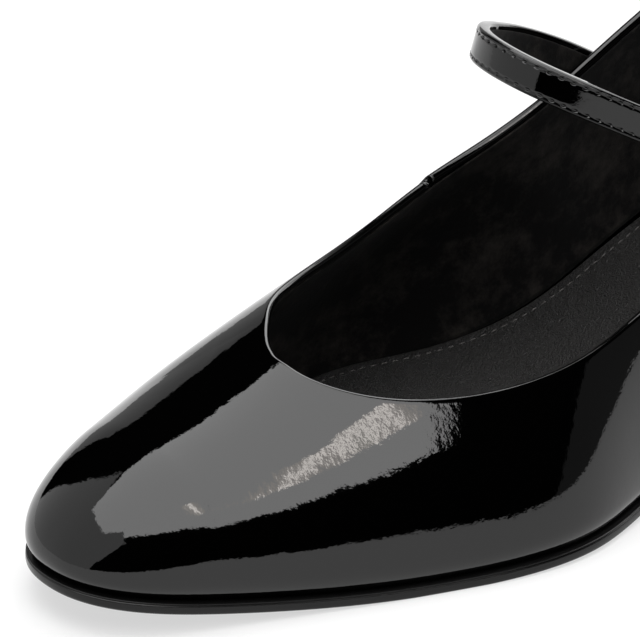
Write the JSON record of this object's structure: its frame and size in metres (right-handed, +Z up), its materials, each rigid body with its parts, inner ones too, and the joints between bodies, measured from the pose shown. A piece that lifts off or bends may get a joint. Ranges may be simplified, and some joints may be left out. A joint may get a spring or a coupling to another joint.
{
  "type": "mary jane shoe",
  "caption": "Patent leather pump with a rounded closed toe, open throat, slim buckled strap over the instep, thin sole and low block heel",
  "frame": {"origin": "on the floor under the middle of the heel's top piece", "axes": "+Z up, -Y towards the toe, +X towards the outer (lateral) side of this left shoe"},
  "size_m": [0.0823, 0.2458, 0.0959],
  "materials": {
    "patent_leather": "high gloss black patent",
    "lining": "matt brown-black microfibre",
    "sock_leather": "fine grained dark leather",
    "sole_rubber": "satin black",
    "lift_rubber": "matt black",
    "buckle_metal": "polished"
  },
  "bodies": {
    "root": {"upper": "patent_leather", "outsole": "sole_rubber", "insole": "sock_leather", "heel_block": "patent_leather", "top_lift": "lift_rubber", "instep_strap": "patent_leather", "buckle_tab": "patent_leather", "keeper_loop": "patent_leather", "buckle_frame": "buckle_metal", "buckle_prong": "buckle_metal"}
  },
  "joints": []
}
